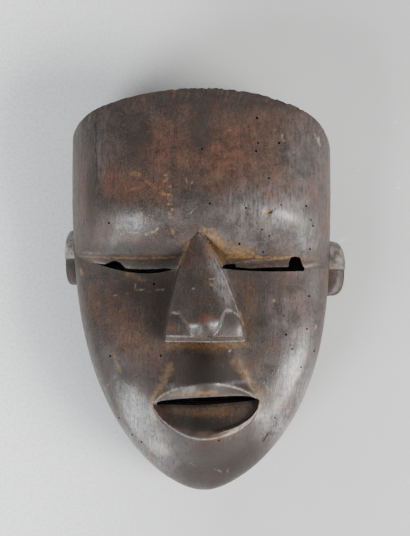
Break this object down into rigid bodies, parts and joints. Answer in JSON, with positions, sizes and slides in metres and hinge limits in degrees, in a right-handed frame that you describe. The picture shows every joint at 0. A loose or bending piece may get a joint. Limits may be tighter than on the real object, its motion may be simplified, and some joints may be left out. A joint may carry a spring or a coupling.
{
  "type": "wooden mask",
  "caption": "Carved wooden face mask with slit eyes, a wedge nose, a rimmed oval mouth and small ear tabs; hollow behind, lying on its back rim.",
  "frame": {"origin": "middle of the mask's bounding box, in the plane of its back rim", "axes": "+Z out of the face, +Y towards the top edge of the forehead, +X towards the viewer's right when the face is looked at with its top edge up"},
  "size_m": [0.171, 0.241, 0.0943],
  "materials": {
    "patinated_wood": "dark brown hardwood, hand-carved and handled, waxy sheen on the high places, ochre dust in the creases, worm holes"
  },
  "bodies": {
    "root": {"mask": "patinated_wood"}
  },
  "joints": []
}
